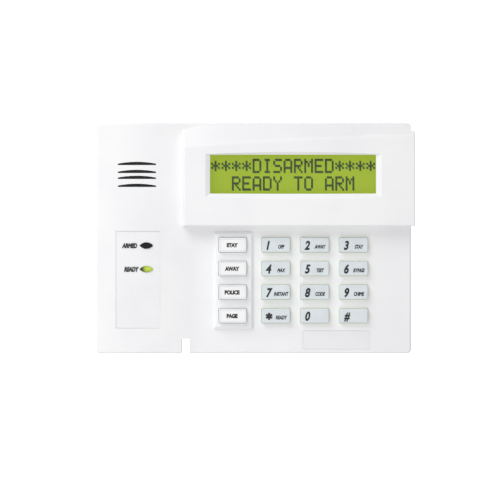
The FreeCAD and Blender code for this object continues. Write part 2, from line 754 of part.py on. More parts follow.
def sound_slot(sketch, x, z):
    """A slot with a nearly straight foot, short upright ends and an arched top."""
    half = S.slot_wide / 2
    base, shoulder, top = z - S.slot_tall / 2, z - S.slot_tall / 2 + S.slot_end, z + S.slot_tall / 2
    first = len(sketch.Geometry)
    corners = box_corners(x - half, x + half, base, shoulder)
    for start, end in zip(corners[:2], corners[1:3]):
        sketch.addGeometry(Part.LineSegment(vector(*start), vector(*end)))
    sketch.addGeometry(arc_through(corners[2], (x, top), corners[3]))
    sketch.addGeometry(Part.LineSegment(vector(*corners[3]), vector(*corners[0])))
    close_four(sketch, first, corners)
    pin_arc(sketch, first + 2, x, top)


def cut_notch_and_badge(body):
    """The notch runs through the bottom edge and keeps a wall of its own; the badge has a recess."""
    cheeks = sketch_on(body, at=SKIRT_BACK)
    polygon(cheeks, box_corners(NOTCH_LEFT - S.wall, NOTCH_RIGHT + S.wall, S.wall / 2 - HALF_TALL,
                                NOTCH_TOP + S.wall))
    pad(body, cheeks, FIELD_ROOT - SKIRT_BACK)
    notch = sketch_on(body, at=S.housing_depth)
    polygon(notch, box_corners(NOTCH_LEFT, NOTCH_RIGHT, -HALF_TALL - CLEAR, NOTCH_TOP))
    pocket(body, notch, S.housing_depth)
    badge = sketch_on(body, at=S.floor_depth)
    wide, tall = S.badge_wide / 2, S.badge_tall / 2
    rounded(badge, S.badge_x - wide, S.badge_x + wide, S.badge_z - tall, S.badge_z + tall,
            S.plate_corner)
    pocket(body, badge, S.badge_recess)


def add_bosses(body):
    """Posts from the ceiling to the main board, each with a pilot hole for its screw."""
    pilots = sketch_on(body, at=S.board_depth + PILOT_LONG)
    for x, z, root in BOSSES:
        post = sketch_on(body, at=S.board_depth)
        circle(post, x, z, S.boss_radius)
        pad(body, post, root - S.board_depth)
        circle(pilots, x, z, S.shank_radius + S.fit_gap / 2)
    pocket(body, pilots, PILOT_LONG)


def cut_catches(body):
    """Blind slots in the top wall for the hooks of the back plate, and windows below for its snaps."""
    sides = sketch_on(body, at=CATCH_FRONT + S.catch_play)
    half = S.catch_wide / 2 + S.catch_play
    reach = S.rim_gap + S.catch_reach + S.catch_play
    for x in CATCHES:
        top, base = HALF_TALL - S.wall, S.wall - HALF_TALL
        polygon(sides, box_corners(x - half, x + half, top - CLEAR, top + reach - S.rim_gap))
        polygon(sides, box_corners(x - half, x + half, base - S.wall - CLEAR, base + CLEAR))
    pocket(body, sides, S.catch_thick + 2 * S.catch_play)


# ---------------------------------------------------------------- back plate
def back_plate():
    """The plate that is screwed to the wall; the case hooks over its rim and snaps on below."""
    body = new_body("back_plate")
    plate = sketch_on(body)
    rounded(plate, *inset_case(S.parting_gap), S.case_corner - S.parting_gap)
    pad(body, plate, S.back_thick)
    rim = sketch_on(body, at=S.back_thick)
    inset = S.wall + S.rim_gap
    polygon(rim, box_corners(*inset_case(inset)))
    polygon(rim, box_corners(*inset_case(inset + S.rim_wall)))
    pad(body, rim, S.rim_tall)
    add_ribs(body)
    add_hooks(body)
    notch = sketch_on(body, at=CATCH_FRONT)
    gap = S.wall + S.rim_gap
    polygon(notch, box_corners(NOTCH_LEFT - gap, NOTCH_RIGHT + gap, -HALF_TALL, NOTCH_TOP + gap))
    pocket(body, notch, S.rim_tall)
    slit = sketch_on(body, at=CATCH_FRONT)
    polygon(slit, box_corners(NOTCH_LEFT, NOTCH_RIGHT, -HALF_TALL, NOTCH_TOP))
    pocket(body, slit, CATCH_FRONT)
    cut_plate_openings(body)


def inset_case(inset):
    """Left, right, foot and top of the case's outline, moved in."""
    return (inset - HALF_WIDE, HALF_WIDE - inset, inset - HALF_TALL, HALF_TALL - inset)


def add_ribs(body):
    """Stiffening ribs: a frame around the wire opening, tied to the rim."""
    ribs = sketch_on(body, at=S.back_thick)
    wide, tall, thick = S.wire_wide / 2, S.wire_tall / 2, S.rib_thick
    polygon(ribs, box_corners(-wide - thick, wide + thick, -tall - thick, tall + thick))
    polygon(ribs, box_corners(-wide, wide, -tall, tall))
    pad(body, ribs, S.rib_tall)
    rim = HALF_WIDE - S.wall - S.rim_gap - S.rim_wall / 2
    for x in (-rim, wide + thick / 2):
        tie = sketch_on(body, at=S.back_thick)
        polygon(tie, box_corners(x, x + rim - wide - thick / 2, tall, tall + thick))
        polygon(tie, box_corners(x, x + rim - wide - thick / 2, -tall - thick, -tall))
        pad(body, tie, S.rib_tall)


def add_hooks(body):
    """Hooks on the top of the rim and snaps on its foot, all at the same places across."""
    hooks = sketch_on(body, at=CATCH_FRONT - S.catch_thick)
    rim = HALF_TALL - S.wall - S.rim_gap
    for x in CATCHES:
        left, right = x - S.catch_wide / 2, x + S.catch_wide / 2
        polygon(hooks, box_corners(left, right, rim - S.rim_wall / 2, rim + S.catch_reach))
        polygon(hooks, box_corners(left, right, -rim - S.catch_reach, S.rim_wall / 2 - rim))
    pad(body, hooks, S.catch_thick)


def cut_plate_openings(body):
    """The opening for the wires, four screw holes and two keyholes to hang the plate by."""
    opening = sketch_on(body, at=S.back_thick + CLEAR)
    wide, tall = S.wire_wide / 2, S.wire_tall / 2
    rounded(opening, -wide, wide, -tall, tall, S.wire_corner)
    pocket(body, opening, S.back_thick + CLEAR)
    holes = sketch_on(body, at=S.back_thick + CLEAR)
    for x in (-S.box_pitch_x / 2, S.box_pitch_x / 2):
        for z in (-S.box_pitch_z / 2, S.box_pitch_z / 2):
            circle(holes, x, z, S.screw_hole)
    for x in (-S.keyhole_x, S.keyhole_x):
        circle(holes, x, -2 * S.screw_hole, 2 * S.screw_hole)
    pocket(body, holes, S.back_thick + CLEAR)
    necks = sketch_on(body, at=S.back_thick + CLEAR)
    for x in (-S.keyhole_x, S.keyhole_x):
        polygon(necks, box_corners(x - S.screw_hole, x + S.screw_hole, -2 * S.screw_hole, 2 * S.screw_hole))
    pocket(body, necks, S.back_thick + CLEAR)


# ---------------------------------------------------------------- boards and what is on them
def circuit_board():
    """The main board; its foot stays above the notch, and the case's bosses stand on it."""
    body = new_body("circuit_board")
    outline = sketch_on(body, at=BOARD_BACK)
    top = HALF_TALL - S.wall - S.board_gap
    rounded(outline, BOARD_LEFT, -BOARD_LEFT, BOARD_BASE, top, S.plate_corner)
    for x, z, root in BOSSES:
        circle(outline, x, z, S.shank_radius + S.fit_gap)
    pad(body, outline, S.board_thick)


def board_screws():
    """One screw per boss, driven from behind."""
    body = new_body("board_screws", solids=len(BOSSES))
    heads = sketch_on(body, at=BOARD_BACK - S.screw_head_tall)
    shanks = sketch_on(body, at=BOARD_BACK - S.screw_head_tall / 2)
    for x, z, root in BOSSES:
        circle(heads, x, z, S.screw_head)
        circle(shanks, x, z, S.shank_radius)
    pad(body, heads, S.screw_head_tall)
    pad(body, shanks, S.screw_long + S.screw_head_tall / 2)
    for wide, tall in ((S.cross_long, S.cross_wide), (S.cross_wide, S.cross_long)):
        cross = sketch_on(body, at=BOARD_BACK - S.screw_head_tall / 2)
        for x, z, root in BOSSES:
            polygon(cross, box_corners(x - wide / 2, x + wide / 2, z - tall / 2, z + tall / 2))
        pocket(body, cross, S.screw_head_tall)


def slab(label, x, z, wide, tall, back, thick, corner):
    """A plate centred on a point of the front view."""
    body = new_body(label)
    outline = sketch_on(body, at=back)
    rounded(outline, x - wide / 2, x + wide / 2, z - tall / 2, z + tall / 2, corner)
    pad(body, outline, thick)
    return body


def display_module():
    """Board, spacers, header, backlight, glass and pressed bezel, and the clear pane in front."""
    x, z = S.window_x, S.window_z
    slab("display_board", x, z, S.module_wide, S.module_tall, MODULE_BACK, S.board_thick, S.plate_corner)
    spacers = new_body("display_spacers", solids=4)
    feet = sketch_on(spacers, at=S.board_depth)
    inset = S.spacer_radius + S.spacer_margin
    for across in (-1, 1):
        for up in (-1, 1):
            circle(feet, x + across * (S.module_wide / 2 - inset),
                   z + up * (S.module_tall / 2 - inset), S.spacer_radius)
    pad(spacers, feet, S.module_lift)
    slab("display_header", x - S.module_wide / 4, z + S.module_tall / 2 - S.header_wide, S.header_long,
         S.header_wide, S.board_depth, S.module_lift, S.small_corner)
    inside_wide, inside_tall = S.bezel_wide - 2 * S.bezel_wall, S.bezel_tall - 2 * S.bezel_wall
    slab("display_backlight", x, z, inside_wide - S.fit_gap, inside_tall - S.fit_gap, MODULE_FRONT,
         S.backlight_thick, S.small_corner)
    slab("display_glass", x, z, inside_wide - 2 * S.glass_inset, inside_tall - 2 * S.glass_inset,
         BACKLIGHT_FRONT, S.glass_thick, S.small_corner)
    bezel = slab("display_bezel", x, z, S.bezel_wide, S.bezel_tall, MODULE_FRONT, S.bezel_deep,
                 S.plate_corner)
    dress(bezel, "Fillet", lambda px, d, pz: near(d, MODULE_FRONT + S.bezel_deep), S.bezel_wall * 0.8)
    hollow = sketch_on(bezel, at=MODULE_FRONT + S.bezel_deep - S.bezel_wall)
    wide, tall = inside_wide / 2, inside_tall / 2
    polygon(hollow, box_corners(x - wide, x + wide, z - tall, z + tall))
    pocket(bezel, hollow, S.bezel_deep)
    view = sketch_on(bezel, at=MODULE_FRONT + S.bezel_deep + CLEAR)
    wide, tall = S.view_wide / 2, S.view_tall / 2
    polygon(view, box_corners(x - wide, x + wide, z - tall, z + tall))
    pocket(bezel, view, S.bezel_wall + 2 * CLEAR)
    slab("display_pane", x, z, S.window_wide + 2 * S.pane_margin, S.window_tall + 2 * S.pane_margin,
         PANE_FRONT - S.pane_thick, S.pane_thick, S.plate_corner)


def board_parts():
    """What is soldered to the back of the main board: controller, capacitors and wire terminal."""
    chip = new_body("controller_chip")
    case = sketch_on(chip, at=BOARD_BACK - CHIP_TALL)
    wide = S.chip_wide / 2
    polygon(case, box_corners(S.chip_x - wide, S.chip_x + wide, S.chip_z - wide, S.chip_z + wide))
    pad(chip, case, CHIP_TALL - S.chip_lift)
    legs = sketch_on(chip, at=BOARD_BACK - S.chip_lift * 3)
    half_leg = S.chip_leg_wide / 2
    for leg in range(CHIP_LEGS):
        middle = S.chip_x + S.chip_pitch * (leg - (CHIP_LEGS - 1) / 2)
        for side in (-1, 1):
            ends = (S.chip_z + side * (wide - half_leg), S.chip_z + side * (wide + S.chip_leg))
            polygon(legs, box_corners(middle - half_leg, middle + half_leg, *sorted(ends, key=float)))
    pad(chip, legs, S.chip_lift * 3)
    cans = new_body("capacitors", solids=3)
    plan = sketch_on(cans, at=BOARD_BACK - S.can_tall)
    for step in range(3):
        circle(plan, S.can_x + S.can_pitch * step, S.can_z, S.can_radius)
    pad(cans, plan, S.can_tall)
    front = BOARD_BACK - S.terminal_deep
    terminal = slab("wire_terminal", S.terminal_x, S.terminal_z, S.terminal_pitch * TERMINAL_WAYS,
                    S.terminal_tall, front, S.terminal_deep, S.small_corner)
    cups = sketch_on(terminal, at=front + S.cup_deep)
    mouths = sketch_on(terminal, "XY_Plane", at=S.terminal_z)
    for way in range(TERMINAL_WAYS):
        x = S.terminal_x + S.terminal_pitch * (way - (TERMINAL_WAYS - 1) / 2)
        circle(cups, x, S.terminal_z + S.terminal_tall / 4, S.cup_radius)
        circle(mouths, x, -(front + S.terminal_deep / 2), S.wire_mouth)
    pocket(terminal, cups, S.cup_deep + CLEAR)
    pocket(terminal, mouths, S.terminal_tall)


# ---------------------------------------------------------------- keys, mats and contacts
def key(label, x, z, wide, top):
    """A rubber key: block, retaining flange under the case, stem and plunger for its contact pill."""
    body = new_body(label)
    half, tall, corner = wide / 2, S.key_tall / 2, S.key_corner
    for back, front, grow in ((FLANGE_BACK, top, as_size(0)), (FLANGE_BACK, FLANGE_FRONT, S.flange_lip),
                              (STEM_BACK, FLANGE_BACK, -S.stem_inset)):
        layer = sketch_on(body, at=back)
        rounded(layer, x - half - grow, x + half + grow, z - tall - grow, z + tall + grow,
                corner + grow / 2)
        pad(body, layer, front - back)
    plunger = sketch_on(body, at=PILL_BACK + S.pill_thick)
    circle(plunger, x, z, S.pill_radius + S.fit_gap)
    pad(body, plunger, STEM_BACK - PILL_BACK - S.pill_thick)
    dress(body, "Fillet", lambda px, d, pz: near(d, top), S.key_edge)
    return body


def contact(label, x, z):
    """The carbon pill under a key."""
    body = new_body(label)
    disc = sketch_on(body, at=PILL_BACK)
    circle(disc, x, z, S.pill_radius)
    pad(body, disc, S.pill_thick)


def number_keys():
    for index, name in enumerate(NUMBER_KEYS):
        x, z = KEY_X[index % 3], KEY_Z[index // 3]
        key("key_" + name, x, z, S.key_wide, KEY_TOP)
        contact("contact_" + name, x, z)


def function_keys():
    """Each function key has a printed insert let into its top."""
    wide, tall = S.function_wide / 2 - S.legend_margin, S.key_tall / 2 - S.legend_margin
    for number, z in enumerate(KEY_Z, start=1):
        body = key("function_key_%d" % number, S.function_x, z, S.function_wide, FUNCTION_TOP)
        bed = sketch_on(body, at=FUNCTION_TOP)
        polygon(bed, box_corners(S.function_x - wide, S.function_x + wide, z - tall, z + tall))
        pocket(body, bed, S.legend_thick)
        slab("function_insert_%d" % number, S.function_x, z, 2 * wide - S.fit_gap, 2 * tall - S.fit_gap,
             FUNCTION_TOP - S.legend_thick, S.legend_thick, S.small_corner)
        contact("function_contact_%d" % number, S.function_x, z)


def key_mat(label, columns, wide):
    """A rubber sheet on the board with a guide ring around every key's stem."""
    body = new_body(label)
    web = sketch_on(body, at=S.board_depth)
    half, tall = wide / 2 + S.flange_lip + S.mat_edge, S.key_tall / 2 + S.flange_lip + S.mat_edge
    rounded(web, columns[0] - half, columns[-1] + half, KEY_Z[-1] - tall, KEY_Z[0] + tall, S.mat_edge)
    pad(body, web, S.mat_thick)
    gap = S.ring_gap - S.stem_inset
    rings = sketch_on(body, at=S.board_depth)
    bores = sketch_on(body, at=FLANGE_BACK)
    for z in KEY_Z:
        for x in columns:
            for sketch, grow in ((rings, gap + S.ring_wall), (bores, gap)):
                half, tall = wide / 2 + grow, S.key_tall / 2 + grow
                polygon(sketch, box_corners(x - half, x + half, z - tall, z + tall))
    pad(body, rings, FLANGE_BACK - S.key_travel - S.key_gap - S.board_depth)
    pocket(body, bores, FLANGE_BACK - S.board_depth)


# ---------------------------------------------------------------- status lamps, sounder and badge
def status_label():
    body = new_body("status_label")
    band = crown_band(body, LABEL_X, S.label_wide / 2 - S.label_gap, S.label_recess - S.label_thick,
                      S.label_recess)
    place_band(band, (S.label_top_z + S.label_base_z) / 2)
    pad(body, band, S.label_top_z - S.label_base_z - 2 * S.label_gap, both_ways=True)
    eyes = sketch_on(body, at=CREST_DEPTH + CLEAR)
    for z in LAMP_Z:
        vesica(eyes, LAMP_X, z, S.lens_wide + 2 * S.lens_gap, S.lens_tall + 2 * S.lens_gap)
    pocket(body, eyes, S.wall)


def lamps():
    """A lens with a flange behind the wall, and a lamp on the board behind each lens."""
    for name, z in zip(("armed", "ready"), LAMP_Z):
        lens = new_body(name + "_lens")
        pipe = sketch_on(lens, at=LENS_BACK)
        vesica(pipe, LAMP_X, z, S.lens_wide, S.lens_tall)
        pad(lens, pipe, LENS_FRONT - LENS_BACK)
        flange = sketch_on(lens, at=LENS_FLANGE_FRONT - S.lens_flange)
        wide, tall = S.lens_wide / 2 + S.lens_flange, S.lens_tall / 2 + S.lens_flange
        polygon(flange, box_corners(LAMP_X - wide, LAMP_X + wide, z - tall, z + tall))
        pad(lens, flange, S.lens_flange)
        lamp = new_body(name + "_led")
        collar = sketch_on(lamp, at=S.board_depth)
        circle(collar, LAMP_X, z, S.led_radius + S.led_collar)
        pad(lamp, collar, S.led_collar_tall)
        dome = sketch_on(lamp, at=S.board_depth)
        circle(dome, LAMP_X, z, S.led_radius)
        pad(lamp, dome, S.led_tall)
        dress(lamp, "Fillet", lambda x, d, pz: near(d, S.board_depth + S.led_tall), S.led_radius * 0.95)


def sounder():
    """A round case open to the board, with the brass disc held against a ledge inside."""
    body = new_body("sounder_case")
    shell = sketch_on(body, at=S.board_depth)
    circle(shell, SOUNDER_X, S.sounder_z, S.sounder_radius)
    pad(body, shell, S.sounder_deep)
    top = S.board_depth + S.sounder_deep
    ledge = S.board_depth + S.sounder_deep / 3
    for front, radius in ((top - S.sounder_wall, S.disc_radius - S.disc_ledge),
                          (ledge, S.disc_radius + S.fit_gap), (top + CLEAR, S.sound_hole)):
        hollow = sketch_on(body, at=front)
        circle(hollow, SOUNDER_X, S.sounder_z, radius)
        pocket(body, hollow, front - S.board_depth)
    disc = new_body("sounder_disc")
    plan = sketch_on(disc, at=ledge - S.disc_thick)
    circle(plan, SOUNDER_X, S.sounder_z, S.disc_radius)
    pad(disc, plan, S.disc_thick)


def badge_plate():
    slab("badge_plate", S.badge_x, S.badge_z, S.badge_wide - 2 * S.fit_gap, S.badge_tall - 2 * S.fit_gap,
         S.floor_depth - S.badge_recess, S.badge_thick, S.plate_corner - S.fit_gap)


front_case()
back_plate()
circuit_board()
board_screws()
display_module()
board_parts()
key_mat("number_key_mat", KEY_X, S.key_wide)
key_mat("function_key_mat", [S.function_x], S.function_wide)
number_keys()
function_keys()
status_label()
lamps()
sounder()
badge_plate()


# ---------------------------------------------------------------- check and write
doc.recompute()
for item in doc.Objects:
    if "Invalid" in item.State or "Error" in item.State:
        raise RuntimeError("%s failed to build" % item.Name)
for piece in PIECES:
    if piece.Shape.isNull() or not piece.Shape.isValid():
        raise RuntimeError("%s has no valid shape" % piece.Label)
os.makedirs("parts", exist_ok=True)
for piece in PIECES:
    piece.Shape.exportStep("parts/%s.step" % piece.Label)
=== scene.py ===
import math

import bpy
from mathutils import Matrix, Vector


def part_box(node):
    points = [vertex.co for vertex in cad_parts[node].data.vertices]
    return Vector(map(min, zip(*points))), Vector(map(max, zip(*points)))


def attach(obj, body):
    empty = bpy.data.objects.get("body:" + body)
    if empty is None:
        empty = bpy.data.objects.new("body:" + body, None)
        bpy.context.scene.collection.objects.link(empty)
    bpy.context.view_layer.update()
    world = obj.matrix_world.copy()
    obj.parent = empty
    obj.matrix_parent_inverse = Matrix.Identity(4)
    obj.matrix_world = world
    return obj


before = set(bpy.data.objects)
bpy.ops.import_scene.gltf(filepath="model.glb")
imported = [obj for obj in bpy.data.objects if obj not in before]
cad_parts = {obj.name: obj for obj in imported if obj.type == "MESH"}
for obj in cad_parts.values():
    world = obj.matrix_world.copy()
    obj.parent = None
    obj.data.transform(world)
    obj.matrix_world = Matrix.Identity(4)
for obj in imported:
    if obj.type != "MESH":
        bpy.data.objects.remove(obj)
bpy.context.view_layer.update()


# ---------------------------------------------------------------- front case
# The case front: white ABS, injection moulded, with a fine spark-eroded texture on its outer faces.
# The texture breaks up the highlight into a soft sheen; the plastic shows a faint cloudiness from moulding.
MM = 0.001


def srgb(code):
    """An sRGB hex colour as the linear colour that a socket takes."""
    parts = [int(code[i:i + 2], 16) / 255 for i in (1, 3, 5)]
    linear = [c / 12.92 if c <= 0.04045 else ((c + 0.055) / 1.055) ** 2.4 for c in parts]
    return (*linear, 1.0)


def put(tree, kind, inputs=None, **settings):
    """Adds a node, sets its properties, and fills or links its sockets."""
    node = tree.nodes.new("ShaderNode" + kind)
    for name, value in settings.items():
        setattr(node, name, value)
    for socket, value in (inputs or {}).items():
        if isinstance(value, bpy.types.NodeSocket):
            tree.links.new(value, node.inputs[socket])
        else:
            node.inputs[socket].default_value = value
    return node


def finish(name, base, low, high, **shader):
    """A material whose colour wanders between two close tones in patches of about base mm.

    Returns it with its tree, its shader, and the Object coordinates.
    """
    made = bpy.data.materials.new(name)
    made.use_nodes = True
    tree = made.node_tree
    tree.nodes.clear()
    place = put(tree, "TexCoord").outputs["Object"]
    cloud = put(tree, "TexNoise", {"Vector": place, "Scale": 1 / (base * MM), "Detail": 3.0})
    tones = put(tree, "ValToRGB", {"Fac": cloud.outputs["Fac"]})
    for stop, at, tone in zip(tones.color_ramp.elements, (0.35, 0.65), (low, high)):
        stop.position = at
        stop.color = srgb(tone)
    bsdf = put(tree, "BsdfPrincipled", {"Base Color": tones.outputs["Color"]})
    for socket, value in shader.items():
        bsdf.inputs[socket.replace("_", " ")].default_value = value
    put(tree, "OutputMaterial", {"Surface": bsdf.outputs[0]})
    return made, tree, bsdf, place


def grain(tree, bsdf, place, size, height, low, high):
    """A fine surface texture: bumps of one real size in mm, and roughness that varies with them."""
    bumps = put(tree, "TexNoise", {"Vector": place, "Scale": 1 / (size * MM), "Detail": 4.0})
    lift = put(tree, "Bump", {"Height": bumps.outputs["Fac"], "Strength": 0.5, "Distance": height * MM})
    rough = put(tree, "MapRange", {"Value": bumps.outputs["Fac"], "To Min": low, "To Max": high})
    tree.links.new(lift.outputs[0], bsdf.inputs["Normal"])
    tree.links.new(rough.outputs[0], bsdf.inputs["Roughness"])


def dress(made, *nodes):
    """Gives a material to CAD nodes."""
    for name in nodes:
        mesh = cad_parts[name].data
        mesh.materials.clear()
        mesh.materials.append(made)


# Grain of about 0.3 mm is finer than the render shows, so it is drawn at 0.8 mm.
case_abs, tree, bsdf, place = finish("white_moulded_abs", 45, "#f3f3f5", "#f9f9fa", IOR=1.53)
grain(tree, bsdf, place, 0.8, 0.02, 0.36, 0.5)
dress(case_abs, "front_case")


# ---------------------------------------------------------------- back plate
# The wall plate: the same white ABS from a plainer tool, so it is a touch duller, with only a slow
# unevenness for texture. It is screwed to the wall and the front case hooks and snaps onto it.
back_abs, tree, bsdf, place = finish("plain_moulded_abs", 60, "#ecedee", "#f3f4f4", IOR=1.53)
grain(tree, bsdf, place, 2.5, 0.01, 0.42, 0.55)
dress(back_abs, "back_plate")


# ---------------------------------------------------------------- badge plate
# A plain plate moulded in satin white ABS and glued in its recess below the keys.
# It carries no mark.
badge_abs, tree, bsdf, place = finish("satin_badge_abs", 20, "#efeff1", "#f4f4f6", IOR=1.53)
grain(tree, bsdf, place, 0.5, 0.008, 0.3, 0.36)
dress(badge_abs, "badge_plate")


# ---------------------------------------------------------------- keys and mats
# Number keys and mats: translucent pale blue-grey silicone, compression moulded with a satin skin. Below the
# key tops, the feet of the number keys and the mats are painted lighter and greener, with a faint emission: a
# painted glow that stands in for light from below. The function keys are of a paler silicone.
def front_of(node):
    """How far a CAD node stands out from the wall."""
    return -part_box(node)[0].y


key_silicone, tree, bsdf, place = finish("satin_blue_grey_silicone", 9, "#dbe2e6", "#e3e9ec", IOR=1.41)
grain(tree, bsdf, place, 0.6, 0.012, 0.42, 0.54)
bsdf.inputs["Subsurface Weight"].default_value = 0.15
bsdf.inputs["Subsurface Radius"].default_value = (0.8, 1.0, 0.9)
bsdf.inputs["Subsurface Scale"].default_value = 0.6 * MM
tones = bsdf.inputs["Base Color"].links[0].from_socket
depth = put(tree, "SeparateXYZ", {"Vector": place}).outputs["Y"]
key_top = front_of("key_5")
glow_starts = 0.4 * MM  # below the key's top
glow_full = 2.2 * MM
# Painted glow: from 0.4 mm to 2.2 mm below the key tops, the colour mixes toward pale yellow-green and a
# faint emission rises.
glow = put(tree, "MapRange", {"Value": depth, "From Min": -key_top + glow_starts,
                              "From Max": -key_top + glow_full, "To Min": 0.0, "To Max": 0.75})
# Sockets 6 and 7 and output 2 of a Mix node are its two colours and the colour it gives.
lit = put(tree, "Mix", {"Factor": glow.outputs[0], 6: tones, 7: srgb("#e3ebc4")}, data_type="RGBA")
tree.links.new(lit.outputs[2], bsdf.inputs["Base Color"])
shine = put(tree, "MapRange", {"Value": glow.outputs[0], "To Min": 0.0, "To Max": 0.15})
tree.links.new(shine.outputs[0], bsdf.inputs["Emission Strength"])
bsdf.inputs["Emission Color"].default_value = srgb("#e0eaba")
number_keys = ["1", "2", "3", "4", "5", "6", "7", "8", "9", "star", "0", "hash"]
dress(key_silicone, *["key_" + name for name in number_keys], "number_key_mat", "function_key_mat")
function_silicone, tree, bsdf, place = finish("satin_pale_silicone", 9, "#e9edf0", "#f1f4f5", IOR=1.41)
grain(tree, bsdf, place, 0.6, 0.012, 0.42, 0.54)
dress(function_silicone, *["function_key_%d" % number for number in range(1, 5)])


# ---------------------------------------------------------------- contact pills
# Under each key: a pill of carbon-filled silicone, dull black, moulded to the foot of the key.
# It closes the bare tracks of the board when the key is pressed.
carbon, tree, bsdf, place = finish("carbon_silicone", 3, "#141414", "#1e1e1e", IOR=1.45)
grain(tree, bsdf, place, 0.3, 0.01, 0.6, 0.75)
dress(carbon, *["contact_" + name for name in number_keys])
dress(carbon, *["function_contact_%d" % number for number in range(1, 5)])


# ---------------------------------------------------------------- printed legends
# Legends on the number keys: black ink, pad printed in a bold slanted face.
# A big figure stands on the left of each key and a small word on its right.
def printed(name, words, height, x, z, front, body, narrow, weight, slant=0.25, align="LEFT"):
    """Ink in the shape of some words, height tall in mm, on the surface that stands out by front.

    The foot of the words is at x, z. Narrow squeezes them; weight thickens them, as a part of their height.
    """
    cap_height = 0.73  # of the type's nominal size
    ink_depth = 0.25  # of the bevel's depth, so that the ink lies flat
    bpy.ops.object.select_all(action="DESELECT")
    bpy.ops.object.text_add()
    text = bpy.context.object
    text.name = name
    text.data.body = words
    text.data.size = height * MM / cap_height
    text.data.shear = slant
    text.data.bevel_depth = weight * height * MM
    text.data.bevel_resolution = 1
    text.data.align_x = align
    text.data.resolution_u = 6
    bpy.ops.object.convert(target="MESH")
    text.rotation_euler = (math.pi / 2, 0, 0)
    text.scale = (narrow, 1, ink_depth)
    text.location = (x, -front, z)
    bpy.ops.object.transform_apply(location=True, rotation=True, scale=True)
    text.data.materials.clear()
    text.data.materials.append(ink)
    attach(text, body)


def star(x, z):
    """A bold six-armed star: three bars of ink that cross, each set 0.01 mm further out than the last."""
    bars = []
    for turn in range(3):
        bpy.ops.object.select_all(action="DESELECT")
        bpy.ops.mesh.primitive_cube_add(size=1, location=(x, -key_top - turn * 0.01 * MM, z),
                                        rotation=(0, math.radians(turn * 60 + 30), 0),
                                        scale=(4.1 * MM, 0.06 * MM, 1.25 * MM))
        bars.append(bpy.context.object)
    for bar in bars:
        bar.select_set(True)
    bpy.ops.object.join()
    mark = bpy.context.object
    bpy.ops.object.transform_apply(location=True, rotation=True, scale=True)
    mark.name = "figure_star"
    mark.data.materials.append(ink)
    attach(mark, "key_star")


def centre_of(node):
    """The middle of a CAD node's box."""
    low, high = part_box(node)
    return (low + high) / 2


ink = finish("black_pad_print_ink", 1.5, "#1d2221", "#2b302f", IOR=1.5, Roughness=0.55)[0]
words = {"1": "OFF", "2": "AWAY", "3": "STAY", "4": "MAX", "5": "TEST", "6": "BYPASS", "7": "INSTANT",
         "8": "CODE", "9": "CHIME", "star": "READY"}
nudges = {"1": -0.45, "hash": 0.45}
figure_left = -5.8  # places are in mm from the middle of a key
star_left = -3.9
star_foot = -0.3
word_middle = 2.9
word_foot = -2.0
for name in number_keys:
    centre = centre_of("contact_" + name)
    key = "key_" + name
    if name == "star":
        star(centre.x + star_left * MM, centre.z + star_foot * MM)
    else:
        figure = "#" if name == "hash" else name
        tall, narrow = (4.9, 0.68) if name == "hash" else (5.0, 0.78)
        left = centre.x + (figure_left + nudges.get(name, 0.0)) * MM
        printed("figure_" + name, figure, tall, left, centre.z - tall * 0.52 * MM, key_top, key,
                narrow=narrow, weight=0.062)
    if name in words:
        printed("word_" + name, words[name], 2.1, centre.x + word_middle * MM, centre.z + word_foot * MM,
                key_top, key, narrow=0.68, weight=0.078, align="CENTER")


# ---------------------------------------------------------------- function key inserts
# A piece of printed white film let into the top of each function key.
# It carries a bold upright word in black ink.
film, tree, bsdf, place = finish("white_printed_film", 12, "#f7f7f8", "#fbfbfb", IOR=1.5)
grain(tree, bsdf, place, 0.5, 0.004, 0.34, 0.42)
for number, word in enumerate(("STAY", "AWAY", "POLICE", "PAGE"), start=1):
    insert = "function_insert_%d" % number
    dress(film, insert)
    centre = centre_of(insert)
    printed("function_word_%d" % number, word, 2.2, centre.x - 0.35 * MM, centre.z - 1.15 * MM,
            front_of(insert), "function_key_%d" % number,
            narrow=0.86, weight=0.105, slant=0.0, align="CENTER")


# ---------------------------------------------------------------- status label and lamps
# A printed film in the long recess on the left, with a slanted bold word beside each lens.
# The upper lens is dark tinted acrylic with its lamp off; the lower is clear green acrylic with its lamp lit.
label_film, tree, bsdf, place = finish("grey_white_label_film", 16, "#f1f1f3", "#f5f5f7", IOR=1.5)
grain(tree, bsdf, place, 0.5, 0.004, 0.4, 0.5)
dress(label_film, "status_label")
dark_lens, tree, bsdf, place = finish("dark_tinted_acrylic", 4, "#040505", "#090a0b", IOR=1.49)
grain(tree, bsdf, place, 1.2, 0.003, 0.1, 0.18)
dress(dark_lens, "armed_lens")
green_lens, tree, bsdf, place = finish("green_acrylic_painted_glow", 3, "#8fa63a", "#a2b84c", IOR=1.49, Roughness=0.18)
# The lamp's light is painted on as an emission glow in an oval, brightest a little right of the middle, and
# the left end of the lens is painted dark as shade.
core = centre_of("ready_lens")
brightest = (core.x + 1.2 * MM, 0, core.z + 0.5 * MM)
away = put(tree, "VectorMath", {0: place, 1: brightest}, operation="SUBTRACT")
flat = put(tree, "VectorMath", {0: away.outputs[0], 1: (1, 0, 1.6)}, operation="MULTIPLY")
far = put(tree, "VectorMath", {0: flat.outputs[0]}, operation="LENGTH")
painted_glow_oval = put(tree, "MapRange", {"Value": far.outputs["Value"], "From Min": 0.0, "From Max": 3.6 * MM,
                              "To Min": 0.46, "To Max": 0.0})
tree.links.new(painted_glow_oval.outputs[0], bsdf.inputs["Emission Strength"])
bsdf.inputs["Emission Color"].default_value = srgb("#e2ee5a")
across = put(tree, "SeparateXYZ", {"Vector": place}).outputs["X"]
